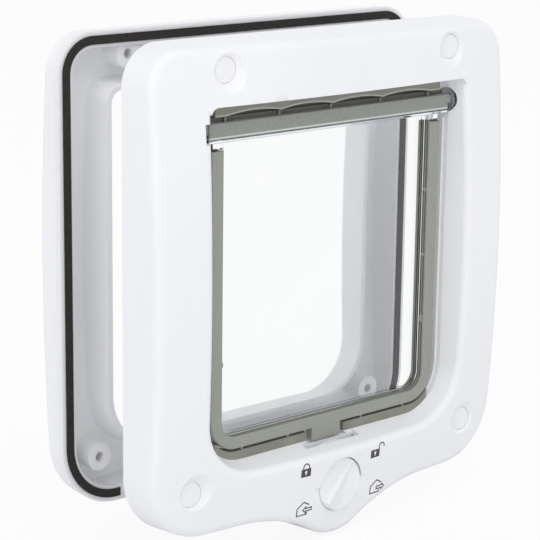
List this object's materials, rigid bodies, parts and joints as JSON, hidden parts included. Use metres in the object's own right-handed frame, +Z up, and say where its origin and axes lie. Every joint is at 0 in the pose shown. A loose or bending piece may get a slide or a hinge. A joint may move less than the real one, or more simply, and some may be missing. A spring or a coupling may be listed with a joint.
{
  "type": "cat flap",
  "caption": "Cat flap set for a house door: white crowned indoor frame with a clear swinging flap, grey seals and a rotary lock, and an outdoor frame with a foam gasket.",
  "frame": {"origin": "middle of the indoor frame's width and height, the dial's bulge left out, on the plane of its rim, which rests on the door's indoor face", "axes": "+X to the right seen from indoors, +Y through the door towards the outdoor frame, +Z up"},
  "size_m": [0.225, 0.0966, 0.2456],
  "materials": {
    "white_plastic": "satin",
    "grey_plastic": "fine grain",
    "soft_seal": "matte",
    "foam": "matte",
    "clear_plastic": "clear",
    "magnet": "plated",
    "steel": "zinc plated"
  },
  "bodies": {
    "frame": {"front_frame": "white_plastic", "rear_frame": "white_plastic", "door_gasket": "foam", "cap_top_left": "white_plastic", "cap_top_right": "white_plastic", "cap_bottom_left": "white_plastic", "cap_bottom_right": "white_plastic", "top_lip": "soft_seal", "seal_left": "soft_seal", "seal_right": "soft_seal", "sill_magnet": "magnet"},
    "flap": {"flap_pane": "clear_plastic", "flap_front_strip": "grey_plastic", "flap_rear_strip": "grey_plastic", "hinge_bar": "grey_plastic", "flap_magnet": "magnet"},
    "lock": {"lock_dial": "white_plastic", "front_cam": "white_plastic", "rear_cam": "white_plastic", "cam_screw": "steel"}
  },
  "joints": [
    {"name": "flap_swing", "type": "hinge", "parent": "frame", "child": "flap", "pos_m": [0, -0.013, 0.07475], "axis": [1, 0, 0], "range_deg": [-80, 80]},
    {"name": "lock_turn", "type": "hinge", "parent": "frame", "child": "lock", "pos_m": [0, -0.02, -0.10435], "axis": [0, 1, 0], "range_deg": [-90, 180]}
  ]
}
